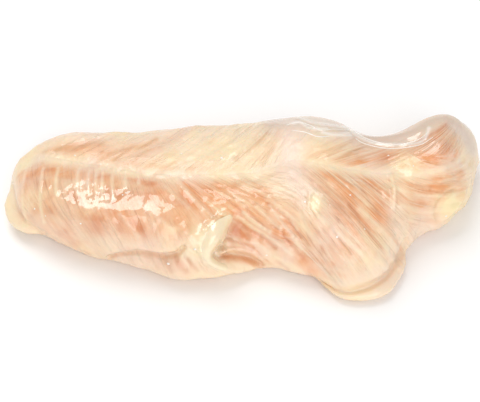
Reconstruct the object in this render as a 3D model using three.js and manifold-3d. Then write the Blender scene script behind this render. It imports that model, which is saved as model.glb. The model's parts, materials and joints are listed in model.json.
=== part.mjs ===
// A raw chicken tenderloin from a thin cream marinade, lying on its flat underside.
// Millimetres. X runs along the muscle, +Y is its back edge, +Z is up, and the origin is the
// middle of the footprint at table height. The broad belly faces -Y and up. Its relief is laid
// out on that face by two measures: x along the muscle, and h up a plane that leans back.
import * as THREE from 'three';
import { mergeVertices } from 'three/addons/utils/BufferGeometryUtils.js';
import Module from 'manifold-3d';

const wasm = await Module();
wasm.setup();
const { lerp, smoothstep, mapLinear, clamp } = THREE.MathUtils;

// Driving dimensions of the muscle
const faceLean = THREE.MathUtils.degToRad(50);
const faceZero = 7.15;
const stepsAround = 56;
const stationsAlong = 74;
const topShare = 0.68;
const rimHeight = { front: 5.1, back: 8.4, ends: 6.5 };
const undersideFlatness = 1.25;
const sectionFullness = 0.8;
const crownLean = 0.1;
const endCrowding = 0.42;
const facing = { least: 0.05, full: 0.5 };
const welded = 1e-3;
const fleshColour = 0xf0bf95;

// Plan of the muscle: front and back edges run from the blunt left end to the right end,
// and matching points of the two lists bound one cross section.
const leftEnd = [-61.3, 8.4];
const rightEnd = [64.4, 17.5];
const frontEdge = [
  leftEnd, [-57.6, -0.9], [-50.1, -6], [-39, -12.1], [-26, -16.2], [-14, -20], [-2.8, -18.2], [8.4, -15.8],
  [18.1, -18.6], [27, -21.8], [34.8, -20.4], [40.4, -13.8], [46.4, -6.2], [54.5, -1.6], [61.4, 7], rightEnd,
];
const backEdge = [
  leftEnd, [-58.5, 17.6], [-50.1, 21.8], [-39, 22.7], [-26, 23.2], [-14, 23.7], [-2.8, 24.6], [8, 26.9],
  [16.7, 28], [25.1, 26.4], [33, 22.4], [40, 22.3], [47, 25.2], [55, 28.8], [62, 27], rightEnd,
];
const crownHeights = [9.5, 13, 16, 18.2, 19.5, 19.9, 19.6, 20, 21.3, 20.6, 18.4, 18.2, 20.2, 22, 17.5, 10];

// The tendon seam that the fibres spring from, on the face
const seamPath = [
  [-65, 8.4], [-53.9, 11.6], [-42.7, 10.2], [-30.6, 7.9], [-16.7, 6.5], [1.9, 7], [13, 9.8], [24.1, 8.8],
  [38.1, 7], [49.2, 7.4], [57.6, 10.2], [67, 12.1],
];
const seamValley = { depth: 2.1, width: 2.6 };
const seamSteps = 120;

// Broad swellings and hollows of the face: place, reach along and across, turn, and height
const swellings = [
  { at: [-34, -3.4], size: [21, 8], turn: -0.12, height: 3.6 },
  { at: [-51, -1.5], size: [9, 8], turn: 0, height: 1.8 },
  { at: [-24, 16], size: [26, 4.6], turn: 0.05, height: -1.3 },
  { at: [21, -6], size: [15, 8.6], turn: -0.7, height: 1.9 },
  { at: [53.5, 14.9], size: [6.5, 5.6], turn: 0, height: 1.9 },
  { at: [50.5, 2.8], size: [7.4, 4.6], turn: -0.3, height: 1.3 },
  { at: [38.1, 13.9], size: [7.4, 4.6], turn: -0.2, height: -1.5 },
  { at: [-9, -2.8], size: [4.6, 7.4], turn: 0.5, height: -1.3 },
  { at: [-0.6, -9], size: [5.4, 4.8], turn: -0.5, height: -3.2 },
  { at: [2, -15], size: [9, 4], turn: -0.2, height: -0.8 },
  { at: [39.5, -11.1], size: [4.6, 7.4], turn: 0.5, height: -1.1 },
  { at: [19, -1], size: [1.9, 2.8], turn: 0.2, height: 0.7 },
  { at: [43.6, 10.8], size: [3.4, 2.2], turn: -0.5, height: 0.7 },
];
// Creases (negative) and raised strands (positive) that follow a line on the face
const strands = [
  { path: [[-39, -17.6], [-33.4, -14.4], [-26, -13], [-18.6, -13.9], [-13.9, -11.6]], width: 2.1,
    height: -1.8 },
  { path: [[-10.2, -12.4], [-7.9, -15.1], [-4.2, -16.8], [0, -18]], width: 2, height: 0.9 },
  { path: [[-15.8, 5.1], [-11.6, 0.5], [-7.4, -3.7]], width: 1.2, height: 0.7 },
  { path: [[14, 18.6], [15, 7.4], [17.6, -1.9], [20.4, -7.4]], width: 3, height: 0.6 },
  { path: [[39, 6.5], [39.2, 2.8], [39, -0.9]], width: 1.2, height: 0.8 },
  { path: [[14, 21.4], [20.4, 18.6], [29.7, 15.3], [40.9, 14.4], [48.3, 16.7], [50.1, 19.5]], width: 1.5,
    height: -0.9 },
];
const strandSteps = 40;
// Fibre bundles leave the seam at x = root and run forward, leaning by lean and curling back by curl
const fibreRoots = [-65, -37, -26, -14, 0, 14, 28, 42, 70];
const fibreLeans = [0, 0.03, 0.5, 1.7, 1.6, 1.5, 1.45, 1.4, 1.4];
const fibreCurls = [0, 0, 0.005, 0.032, 0.02, 0.018, 0.018, 0.018, 0.018];
const bundles = { pitch: 11, height: 0.55, from: 0, to: 40, fade: 11, shallow: 1, deep: 5 };
const halvings = 18;

// Lumps and dents of the back and the ends: place in space, reach, and height. They fade out
// towards the table side, which stays flat.
const lumps = [
  { at: [-46, 24, 9], reach: 11, height: 1.1 },
  { at: [-26, 25, 8], reach: 7, height: -1.2 },
  { at: [-8, 26, 10], reach: 10, height: 1.3 },
  { at: [6, 28, 7], reach: 5, height: -1.3 },
  { at: [27, 27, 9], reach: 7, height: 1.0 },
  { at: [48, 27, 8], reach: 5, height: -1.1 },
  { at: [66, 20, 10], reach: 6, height: 0.9 },
  { at: [-62, 14, 9], reach: 5, height: 0.7 },
];
const flatBelow = 1.5;

// Pieces grown onto the muscle: a bowed blade along a path, wide and thick in the middle.
// Those over the face are the torn leaf of skin, a nub beside it and the fat pad at the right end.
const overFace = [
  { path: [[-10.9, -16], [-7.6, -9.6], [-3, -2.8]], lift: [-0.8, 1.5, 0.9], halfWidth: 3.2,
    halfThickness: 0.8, tilt: 0.2, blunt: 0.55 },
  { path: [[-14.6, -8.4], [-13.2, -3.8]], lift: [-0.2, -0.1], halfWidth: 1.6, halfThickness: 0.8, tilt: 0,
    blunt: 0.5 },
  { path: [[51.6, -4.6], [58.6, 4.4]], lift: [-0.4, -0.5], halfWidth: 3.1, halfThickness: 1.4, tilt: 0,
    blunt: 0.4 },
];
// Those beside it are the fat lobe at the left end and the lip of the layer below, front right.
const beside = [
  { path: [[-60, 9, 6.5], [-60.8, 3, 5], [-57, -2.2, 4.4], [-51, -4.6, 4.2]], halfWidth: 2.2,
    halfThickness: 2.3, blunt: 0.5 },
  { path: [[19.5, -13.5, 2.4], [26, -19.6, 2.3], [33.4, -19.3, 2.3], [38, -13, 2.6], [38.8, -5, 3]],
    halfWidth: 5.8, halfThickness: 2.4, blunt: 0.4 },
];
const bladeSteps = { around: 16, along: 18 };
const clearOfFace = 90;

const curveOf = (points) => new THREE.CatmullRomCurve3(
  points.map(([x, y]) => new THREE.Vector3(x, y, 0)), false, 'centripetal');
const graphOf = (values) => new THREE.SplineCurve(values.map((v, i) => new THREE.Vector2(i, v)));
const frontCurve = curveOf(frontEdge);
const backCurve = curveOf(backEdge);
const crownCurve = graphOf(crownHeights);
const signedPower = (value, power) => Math.sign(value) * Math.abs(value) ** power;
const bell = (distance, reach) => Math.exp(-((distance / reach) ** 2));

// A sphere with its poles at the two ends, each point put where place(share, turn) says
function pulledSphere(around, along, place) {
  const geometry = new THREE.SphereGeometry(1, around, along);
  const { uv, position } = geometry.attributes;
  for (let i = 0; i < position.count; i++) {
    const p = place(1 - uv.getY(i), uv.getX(i));
    position.setXYZ(i, p.x, p.y, p.z);
  }
  geometry.deleteAttribute('uv');
  geometry.deleteAttribute('normal');
  return mergeVertices(geometry, welded);
}

// Stations crowd towards the ends, and more of the steps round a section lie on its top
function crowdEnds(share) {
  const s = 2 * share - 1;
  return (s * (1 + endCrowding * (1 - s * s)) + 1) / 2;
}
function sectionAngle(turn) {
  if (turn < topShare) return Math.PI * turn / topShare;
  return Math.PI * (1 + (turn - topShare) / (1 - topShare));
}

function musclePoint(share, turn) {
  const along = crowdEnds(share);
  const front = frontCurve.getPoint(along);
  const back = backCurve.getPoint(along);
  const angle = sectionAngle(turn);
  const backness = (1 - signedPower(Math.cos(angle), sectionFullness)) / 2;
  const endRound = Math.sqrt(1 - (2 * along - 1) ** 4);
  const rise = endRound * Math.abs(Math.sin(angle)) ** sectionFullness;
  const rim = lerp(rimHeight.ends, lerp(rimHeight.front, rimHeight.back, backness), endRound);
  const crown = crownCurve.getPoint(along).y;
  const z = angle <= Math.PI
    ? rim + (crown - rim) * rise
    : Math.max(0, rim * (1 - undersideFlatness * rise));
  const point = front.lerp(back, backness);
  point.y += crownLean * (z - rim);
  point.z = z;
  return point;
}

// Height up the leaning face, and the direction that the face looks in
const faceHeight = (p) => p.y * Math.sin(faceLean) + p.z * Math.cos(faceLean) - faceZero;
const faceOut = new THREE.Vector3(0, -Math.cos(faceLean), Math.sin(faceLean));
const faceUp = new THREE.Vector3(0, Math.sin(faceLean), Math.cos(faceLean));

function distanceTo(samples, x, h) {
  let best = Infinity;
  for (const s of samples) best = Math.min(best, Math.hypot(s.x - x, s.y - h));
  return best;
}
const seamSamples = curveOf(seamPath).getPoints(seamSteps);
const strandSamples = strands.map(({ path }) => curveOf(path).getPoints(strandSteps));

function seamHeightAt(x) {
  const i = clamp(seamSamples.findIndex((s) => s.x > x), 1, seamSamples.length - 1);
  return mapLinear(x, seamSamples[i - 1].x, seamSamples[i].x, seamSamples[i - 1].y, seamSamples[i].y);
}

function alongList(xs, values, x) {
  const i = clamp(xs.findIndex((v) => v > x), 1, xs.length - 1);
  return lerp(values[i - 1], values[i], clamp((x - xs[i - 1]) / (xs[i] - xs[i - 1]), 0, 1));
}

// Where on the seam the fibre through (x, depth below the seam) starts, by halving
function fibreRoot(x, depth) {
  let low = fibreRoots[0];
  let high = fibreRoots[fibreRoots.length - 1];
  for (let i = 0; i < halvings; i++) {
    const root = (low + high) / 2;
    const lean = alongList(fibreRoots, fibreLeans, root);
    const curl = alongList(fibreRoots, fibreCurls, root);
    if (root + lean * depth - curl * depth * depth > x) high = root;
    else low = root;
  }
  return (low + high) / 2;
}

function swellingHeight(x, h, { at, size, turn, height }) {
  const dx = x - at[0];
  const dh = h - at[1];
  const along = (dx * Math.cos(turn) + dh * Math.sin(turn)) / size[0];
  const across = (dh * Math.cos(turn) - dx * Math.sin(turn)) / size[1];
  return height * bell(Math.hypot(along, across), 1);
}

function bundleHeight(x, h) {
  const depth = seamHeightAt(x) - h;
  const root = fibreRoot(x, Math.max(depth, 0));
  const inside = smoothstep(x, bundles.from, bundles.from + bundles.fade)
    * (1 - smoothstep(x, bundles.to - bundles.fade, bundles.to));
  const wave = Math.cos(2 * Math.PI * root / bundles.pitch);
  return bundles.height * wave * inside * smoothstep(depth, bundles.shallow, bundles.deep);
}

function faceRelief(x, h) {
  let height = -seamValley.depth * bell(distanceTo(seamSamples, x, h), seamValley.width);
  for (const swelling of swellings) height += swellingHeight(x, h, swelling);
  strands.forEach((strand, i) => {
    height += strand.height * bell(distanceTo(strandSamples[i], x, h), strand.width);
  });
  return height + bundleHeight(x, h);
}

// Pushes the face in and out along its own direction, fading to nothing where it turns away,
// and everything above the table side along its own normal by the lumps
function raiseRelief(geometry) {
  geometry.computeVertexNormals();
  const { position, normal } = geometry.attributes;
  const p = new THREE.Vector3();
  const n = new THREE.Vector3();
  const place = new THREE.Vector3();
  for (let i = 0; i < position.count; i++) {
    p.fromBufferAttribute(position, i);
    n.fromBufferAttribute(normal, i);
    const share = smoothstep(n.dot(faceOut), facing.least, facing.full);
    const relief = share * faceRelief(p.x, faceHeight(p));
    let swell = 0;
    for (const lump of lumps) swell += lump.height * bell(p.distanceTo(place.set(...lump.at)), lump.reach);
    swell *= smoothstep(p.z, 0, flatBelow);
    p.addScaledVector(faceOut, relief).addScaledVector(n, swell);
    position.setXYZ(i, p.x, p.y, Math.max(p.z, 0));
  }
  geometry.deleteAttribute('normal');
  return geometry;
}

// The point of the muscle that face measures x and h meet, lifted off it by lift
function overPoint(muscle, [x, h], lift) {
  const from = new THREE.Vector3(x, 0, 0)
    .addScaledVector(faceUp, h + faceZero)
    .addScaledVector(faceOut, clearOfFace);
  const hit = new THREE.Raycaster(from, faceOut.clone().negate()).intersectObject(muscle)[0];
  return hit.point.addScaledVector(faceOut, lift);
}

// A blade whose flat side looks along out, turned by tilt about its own path
function blade(points, out, { halfWidth, halfThickness, tilt = 0, blunt }) {
  const curve = new THREE.CatmullRomCurve3(points, false, 'centripetal');
  return pulledSphere(bladeSteps.around, bladeSteps.along, (share, turn) => {
    const ahead = curve.getTangent(share);
    const side = new THREE.Vector3().crossVectors(ahead, out).normalize().applyAxisAngle(ahead, tilt);
    const face = new THREE.Vector3().crossVectors(side, ahead);
    const swell = Math.sin(Math.PI * clamp(share, 0, 1)) ** blunt;
    const angle = 2 * Math.PI * turn;
    const point = curve.getPoint(share)
      .addScaledVector(side, halfWidth * swell * Math.cos(angle))
      .addScaledVector(face, halfThickness * swell * Math.sin(angle));
    point.z = Math.max(point.z, 0);
    return point;
  });
}

function solidOf(geometry) {
  return new wasm.Manifold(new wasm.Mesh({
    numProp: 3,
    vertProperties: geometry.attributes.position.array,
    triVerts: new Uint32Array(geometry.index.array),
  }));
}

function geometryOf(solid) {
  const { vertProperties, triVerts } = solid.getMesh();
  return new THREE.BufferGeometry()
    .setAttribute('position', new THREE.BufferAttribute(vertProperties, 3))
    .setIndex(new THREE.BufferAttribute(triVerts, 1));
}

const flesh = new THREE.MeshStandardMaterial({ color: fleshColour, roughness: 0.35 });
const muscleGeometry = raiseRelief(pulledSphere(stepsAround, stationsAlong, musclePoint));
const muscle = new THREE.Mesh(muscleGeometry, flesh);
const tableUp = new THREE.Vector3(0, 0, 1);
const facePieces = overFace.map((piece) => {
  const points = piece.path.map((at, i) => overPoint(muscle, at, piece.lift[i]));
  return blade(points, faceOut, piece);
});
const sidePieces = beside.map((piece) => {
  const points = piece.path.map((at) => new THREE.Vector3(...at));
  return blade(points, tableUp, piece);
});
const grown = [...facePieces, ...sidePieces].map(solidOf);
const whole = grown.reduce((solid, piece) => solid.add(piece), solidOf(muscleGeometry));

// The solid is moved so that the middle of its footprint is the origin
const mesh = new THREE.Mesh(geometryOf(whole), flesh);
mesh.name = 'tenderloin';
const middle = new THREE.Box3().setFromObject(mesh).getCenter(new THREE.Vector3());
mesh.position.set(-middle.x, -middle.y, 0);
const tenderloin = new THREE.Group();
tenderloin.add(mesh);
export default tenderloin;
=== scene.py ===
import json
import math

import bpy
import numpy as np
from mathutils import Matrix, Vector
from mathutils.bvhtree import BVHTree

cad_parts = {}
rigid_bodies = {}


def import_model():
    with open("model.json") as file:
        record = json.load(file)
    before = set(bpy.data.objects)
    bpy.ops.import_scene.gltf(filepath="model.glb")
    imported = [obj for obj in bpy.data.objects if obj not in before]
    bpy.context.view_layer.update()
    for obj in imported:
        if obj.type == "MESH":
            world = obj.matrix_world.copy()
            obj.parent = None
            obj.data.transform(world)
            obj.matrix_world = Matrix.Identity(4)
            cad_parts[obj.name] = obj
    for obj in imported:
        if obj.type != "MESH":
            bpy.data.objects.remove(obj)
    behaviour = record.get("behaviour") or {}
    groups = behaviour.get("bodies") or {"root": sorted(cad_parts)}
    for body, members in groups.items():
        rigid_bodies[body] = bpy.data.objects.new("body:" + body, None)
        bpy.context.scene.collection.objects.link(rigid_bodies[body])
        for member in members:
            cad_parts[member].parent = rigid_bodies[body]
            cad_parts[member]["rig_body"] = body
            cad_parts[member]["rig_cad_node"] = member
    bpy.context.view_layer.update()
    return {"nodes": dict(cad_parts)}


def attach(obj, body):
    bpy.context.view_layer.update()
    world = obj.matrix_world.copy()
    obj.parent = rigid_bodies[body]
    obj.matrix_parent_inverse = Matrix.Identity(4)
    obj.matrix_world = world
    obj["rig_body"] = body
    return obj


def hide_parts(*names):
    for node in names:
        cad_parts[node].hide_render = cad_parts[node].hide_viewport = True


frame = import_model()
mm = 0.001

# A raw chicken tenderloin in a thin cream marinade. Places on it are given in millimetres on
# its broad face: x runs along the muscle and h up a plane that leans back by lean.
face = {
    "lean": math.radians(50),
    "zero": 7.15,
    "middle": (1.025, 1.568),  # where the object's origin lies in these measures
    "far": 60,  # how far out a ray towards the skin starts
}
faceOut = np.array([0.0, -math.cos(face["lean"]), math.sin(face["lean"])])


# Small tools that work on whole lists of points
def smoothStep(low, high, value):
    t = np.clip((value - low) / (high - low), 0, 1)
    return t * t * (3 - 2 * t)


def bell(distance, reach):
    return np.exp(-((distance / reach) ** 2))


def wavyNoise(points, size, seed, waves=36):
    # a sum of seeded plane waves whose lengths lie round size, about -1 to 1
    rng = np.random.default_rng(seed)
    directions = rng.normal(size=(waves, points.shape[1]))
    directions /= np.linalg.norm(directions, axis=1)[:, None]
    turns = directions * rng.uniform(0.6, 1.5, (waves, 1)) * 2 * math.pi / size
    starts = rng.uniform(0, 2 * math.pi, waves)
    return np.cos(points @ turns.T + starts).sum(axis=1) / math.sqrt(waves * 2)


def smoothPath(path, steps=14):
    # Catmull-Rom points through the given ones
    p = np.array(path, float)
    p = np.vstack([2 * p[0] - p[1], p, 2 * p[-1] - p[-2]])
    t = np.linspace(0, 1, steps, endpoint=False)[:, None]
    pieces = []
    for a, b, c, d in zip(p, p[1:], p[2:], p[3:]):
        bend = 2 * a - 5 * b + 4 * c - d + t * (3 * (b - c) + d - a)
        pieces.append(b + 0.5 * t * (c - a + t * bend))
    return np.vstack(pieces + [p[-2][None]])


def distanceTo(spots, path):
    best = np.full(len(spots), 1e9)
    for place in smoothPath(path):
        best = np.minimum(best, np.hypot(spots[:, 0] - place[0], spots[:, 1] - place[1]))
    return best


def strokes(spots, marks):
    # the strongest of some soft brush strokes at each spot
    total = np.zeros(len(spots))
    for mark in marks:
        total = np.maximum(total, mark["amount"] * bell(distanceTo(spots, mark["path"]), mark["width"]))
    return total


def patches(spots, marks):
    # soft oval patches, added up
    total = np.zeros(len(spots))
    for x, h, along, across, turn, amount in marks:
        dx, dh = spots[:, 0] - x, spots[:, 1] - h
        c, s = math.cos(turn), math.sin(turn)
        total += amount * bell(np.hypot((dx * c + dh * s) / along, (dh * c - dx * s) / across), 1)
    return total


# The tendon seam, and the fibres that spring from it. Each fibre starts at root on the seam and
# leaves it at lean, bending by curl down to the depth bent and running straight from there.
seam = {
    "path": [(-66, 7), (-60, 9), (-54, 11.6), (-43, 10.2), (-31, 8), (-17, 6.6), (2, 7), (9, 8.6),
             (14, 10.4), (24, 8.8), (38, 7), (49, 7.4), (56, 9.6), (61, 13), (68, 15)],
    "width": 1.5,
}
fibresBelow = {
    "roots": [-66, -50, -37, -26, -17, -15, -10, -5.5, 0, 14, 28, 42, 70],
    "leans": [0.05, 0.05, 0.08, 0.5, 0.94, 1.45, 1.95, 2.2, 2.0, 1.5, 1.45, 1.4, 1.2],
    "curls": [-0.026, -0.026, -0.018, 0.005, 0, 0.006, 0.036, 0.052, 0.04, 0.018, 0.018, 0.018, 0.018],
    "bent": 14,
}
fibresAbove = {
    "roots": [-72, -40, -10, 12, 20, 28, 45, 60, 75],
    "leans": [1.2, 1.3, 1.3, 0.8, 2.2, 2.4, 1.5, 0.9, 0.5],
    "curls": [0, 0, 0, 0, 0, 0, 0, 0, 0],
    "bent": 14,
    "shift": (37, 61),  # moves the pattern on, so that it differs from the one below the seam
    "stretch": 1.7,
}
fibreGrid = {"samples": 700, "step": 0.5, "rows": 90}  # how finely fibreRoot looks a root up
endArcs = {  # the arcs that wrap the right end, and where they fade in
    "centre": (52, 20),
    "squash": 1.1,
    "pace": 24,
    "from": (39, 46),
    "under": (14, 10),
    "above": (-9, -5),
}


def seamHeight(x):
    path = smoothPath(seam["path"])
    return np.interp(x, path[:, 0], path[:, 1])


def fibreRoot(x, depth, fibres):
    # turns the fibres' equation round, row by row of depth
    roots = np.linspace(fibres["roots"][0], fibres["roots"][-1], fibreGrid["samples"])
    lean = np.interp(roots, fibres["roots"], fibres["leans"])
    curl = np.interp(roots, fibres["roots"], fibres["curls"])
    step = fibreGrid["step"]
    found = np.zeros(len(x))
    row = np.clip((depth / step).astype(int), 0, fibreGrid["rows"])
    share = np.clip(depth / step - row, 0, 1)
    for i in range(row.max() + 1):
        here = row == i
        ends = []
        for d in (i * step, (i + 1) * step):
            bent = min(d, fibres["bent"])
            reached = np.maximum.accumulate(roots + lean * d - curl * bent * (2 * d - bent))
            ends.append(np.interp(x[here], reached, roots))
        found[here] = ends[0] * (1 - share[here]) + ends[1] * share[here]
    return found


def fibreMap(spots):
    # height over the seam, then across and along of the fibres and the share of the arcs at each
    # spot, and then across and along of the arcs
    x, h = spots[:, 0], spots[:, 1]
    over = h - seamHeight(x)
    below = fibreRoot(x, np.maximum(-over, 0), fibresBelow)
    above = fibreRoot(x, np.maximum(over, 0), fibresAbove)
    lean = np.interp(below, fibresBelow["roots"], fibresBelow["leans"])
    shiftAcross, shiftAlong = fibresAbove["shift"]
    across = np.where(over < 0, below, above + shiftAcross)
    upward = over * fibresAbove["stretch"] + shiftAlong
    along = np.where(over < 0, -over * np.sqrt(1 + lean ** 2), upward)
    dx, dh = x - endArcs["centre"][0], h - endArcs["centre"][1]
    radius = np.hypot(dx, dh * endArcs["squash"])
    angle = np.arctan2(dx, -dh)
    wrap = smoothStep(*endArcs["from"], x) * smoothStep(*endArcs["under"], h)
    wrap *= smoothStep(*endArcs["above"], h)
    arcs = np.stack([radius, angle * endArcs["pace"]], 1)
    return over, np.stack([across, along, wrap], 1), arcs


# Short pale ribs that hang from the seam over the left belly
ribs = {
    "at": [-56.6, -51.6, -47.5, -41.9, -39, -37.1, -35.5, -32.8, -29.5, -26.2],
    "lengths": [15, 14, 7, 7, 6.5, 7, 7.5, 8, 5, 4],
    "top": 8.6,
    "width": 0.5,
    "raised": 0.2,
    "pale": 0.8,
}


def ribStrokes():
    marks = []
    for x, length in zip(ribs["at"], ribs["lengths"]):
        top = ribs["top"]
        path = [(x, top), (x + 0.1, top - length / 2), (x + 0.09 * length, top - length)]
        marks.append({"path": path, "width": ribs["width"], "amount": 1.0})
    return marks


# Colour zones of the face. Patches are x, h, reach along, reach across, turn and amount.
zones = {
    "orange": [
        (-50, 1, 11, 8, 0, 0.5), (-31, 0, 14, 9, -0.1, 0.85), (-16, -3, 9, 7, -0.3, 0.85),
        (-1, 1.5, 14, 5, -0.2, 0.75), (5, -6.5, 12, 7, -0.6, 0.75), (14, -13, 10, 5, -0.7, 0.55),
        (27, -6, 8, 11, 0.5, 0.85), (23, 5, 11, 3, -0.2, 0.7), (34, 0, 8, 6, -0.7, 0.5),
        (32, 12.4, 12, 3.4, 0.15, 0.9), (52.5, 13.4, 6.6, 7.6, 0, 0.85), (49, 1.6, 11, 6.5, 0, 1.0),
        (-42, 14, 9, 2, 0, 0.6), (-31, 13, 11, 2.4, 0.2, 0.4), (-20, -16, 9, 2.2, -0.15, 0.5),
        (-36.6, -6.6, 3, 2.6, 0, 0.5), (-26, -7, 2, 2.8, -0.4, 0.45), (-47, -9, 12, 4, -0.4, 0.4),
        (8, 14, 6, 4, 0.3, 0.3),
    ],
    "cream": [
        (14, 13, 4.5, 10, 0, 0.9), (-10, 13, 15, 4, 0, 0.8), (36, -16, 11, 3.5, -0.6, 0.9),
        (49, -7.6, 7, 2.4, 0.5, 0.7), (30, -24, 13, 4.6, 0.15, 1.3), (-9.6, -12, 2.6, 5, 0, 0.9),
        (-28, -17, 12, 1.6, -0.15, 0.5), (-61.5, -1, 3, 6, 0, 1.0), (-57, -7, 6, 2, -0.4, 1.0),
        (4, -18.6, 12, 1.6, 0.1, 0.8), (60, 14, 2.2, 9, 0, 0.8), (-60.4, 5, 2, 5, 0, 0.7),
        (-56, 14, 4, 4, 0, 0.6),
    ],
    "fat": [
        (54.8, -1.2, 3.6, 3.6, 0, 1.3), (18.8, -0.6, 1.7, 2.6, 0, 0.9),
        (43.6, 10.8, 3.4, 2.2, -0.5, 0.3), (-7.8, -9.4, 2.4, 5.6, -0.5, 0.8),
        (-61.5, -1, 2.6, 5, 0, 0.5), (-57, -6.5, 5, 1.6, -0.4, 0.4), (-57.5, 10, 2, 4, -0.6, 0.7),
        (30, -25.5, 14, 3, 0.1, 0.25), (61, 0, 2, 8, 0, 0.5),
    ],
    "deep": [
        (-1.6, -8, 1.6, 4.2, -0.3, 0.9), (1.6, -9.4, 3, 3.4, -0.5, 0.5), (-48, -2.4, 2.2, 1.5, 0, 0.5),
        (-36.6, -6.6, 2.6, 2, -0.5, 0.7), (-25.4, -6.6, 2.8, 1, -1, 0.75),
        (-30, -7.2, 2.2, 0.8, -1.1, 0.6), (-19, -4.6, 3.4, 1.4, -0.5, 0.5),
        (-15.6, 0.6, 3, 1.6, 0, 0.5), (-33, 1.6, 7, 1.2, 0, 0.35), (-41, 0.4, 5, 1.4, 0, 0.3),
        (-45, -8, 1.6, 0.8, 0.3, 0.5), (-52, 4.6, 3, 1.6, 0, 0.5), (38.4, 11.4, 3, 1.6, 0.3, 1.0),
        (-18.2, -16.2, 2, 0.6, -1.1, 0.6), (-15.4, -15.8, 2.2, 0.7, -1, 0.8),
        (-12.6, -15.6, 1.8, 0.5, -1, 0.6), (54, 14, 3.4, 3, -0.6, 0.4), (-43, 15.5, 4, 1, 0.1, 0.5),
        (-20, 14.6, 8, 1.3, 0.6, 0.5),
    ],
    "even": [
        (-2, 2.6, 12, 4, -0.25, 0.7), (8, -7, 9, 5, -0.6, 0.4), (27, -8, 14, 8, -0.8, 0.5),
        (-20, 14, 26, 4.4, 0.05, 0.4), (14, 13, 6, 9, 0, 0.5), (50, 1, 8, 8, 0, 0.55),
    ],
    "fascia": [
        (22.6, -8.4, 3, 5, -0.7, 0.35), (-49, -9, 7, 3, -0.5, 0.3), (-30, -11, 12, 2.6, -0.1, 0.35),
        (13, 13, 3.8, 8, 0, 1.0), (17, 1, 4, 8, 0.3, 0.7), (24, -4, 3, 6, 0.5, 0.2),
        (40, -3, 4, 6, 0.4, 0.5), (-24, -16, 12, 2.4, -0.15, 0.45), (28, 17, 14, 2, -0.1, 0.6),
        (32, -23, 10, 3, 0.2, 0.3),
    ],
}

# Strokes of cream that lie on the flesh
creamStrokes = [
    {"path": [(-9.6, -12.8), (-7.8, -15.2), (-4.2, -16.9), (0, -18)], "width": 1.0, "amount": 0.9},
    {"path": [(-15.9, 5.5), (-11.6, 0.5), (-7, -3.9)], "width": 0.5, "amount": 0.7},
    {"path": [(39, 6.5), (39.2, 2.8), (38.8, -2)], "width": 0.6, "amount": 0.8},
    {"path": [(-60, 8), (-56, 12), (-50, 15), (-40, 17)], "width": 1.1, "amount": 0.6},
]

# Broad fibres that show as orange bands
orangeStrokes = [
    {"path": [(-57, 7), (-50, 8), (-44, 7), (-36, 5.8), (-28, 4.8), (-22, 4)], "width": 2.3,
     "amount": 0.9},
    {"path": [(17.4, -4.6), (19, -8), (20.6, -12.6)], "width": 1.9, "amount": 0.85},
    {"path": [(22, -6), (26, -10), (29.6, -14.6)], "width": 2.0, "amount": 0.9},
    {"path": [(23, 2.6), (28, -4), (34, -10.4), (37, -15)], "width": 1.6, "amount": 0.8},
    {"path": [(26.8, 5.2), (33.3, -1.3), (38.5, -6.5)], "width": 1.1, "amount": 0.45},
    {"path": [(32, 4), (37, 0), (41, -4)], "width": 0.9, "amount": 0.6},
    {"path": [(5, -4), (11, -9), (17.7, -14.3), (23, -16)], "width": 1.4, "amount": 0.85},
    {"path": [(0.8, -6.5), (7.3, -11.7), (15, -15)], "width": 1.3, "amount": 0.8},
    {"path": [(-4.4, 5.6), (3.4, 2.6), (9.9, -2.6), (15, -7.3)], "width": 1.8, "amount": 0.8},
    {"path": [(-14.8, 4), (-7, 1.3), (-0.5, -1.3)], "width": 2.2, "amount": 0.95},
    {"path": [(17, -1), (21, -6), (27, -12), (31, -17)], "width": 1.2, "amount": 0.6},
    {"path": [(28, -6.5), (33, -12), (37, -17)], "width": 1.3, "amount": 0.65},
    {"path": [(33.4, -4), (38, -9), (41, -13)], "width": 1.2, "amount": 0.75},
    {"path": [(37.6, 1.6), (41.4, -3), (44, -7)], "width": 1.0, "amount": 0.55},
    {"path": [(13, -12.4), (19, -16), (26, -19)], "width": 1.1, "amount": 0.55},
    {"path": [(39, 5.4), (46.3, 3.6), (54, 4.2), (58, 7.3)], "width": 1.5, "amount": 1.0},
    {"path": [(41, 1), (47.6, -0.8), (51.5, -0.5)], "width": 1.3, "amount": 1.0},
    {"path": [(42.4, -3.1), (47.6, -4.7), (52, -5.7)], "width": 1.2, "amount": 0.75},
    {"path": [(28, 9), (35.4, 10.6), (41.6, 12.2)], "width": 1.2, "amount": 0.9},
    {"path": [(42.4, 12.6), (47.6, 13.6), (51.5, 16.6), (54, 19.5)], "width": 2.4, "amount": 0.85},
    {"path": [(-56, 4), (-56, -2), (-52, -8)], "width": 2.2, "amount": 0.6},
    {"path": [(-5, -15.9), (-0.5, -14.8), (3.4, -15.9), (6, -17.6)], "width": 0.9, "amount": 0.6},
]

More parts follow.
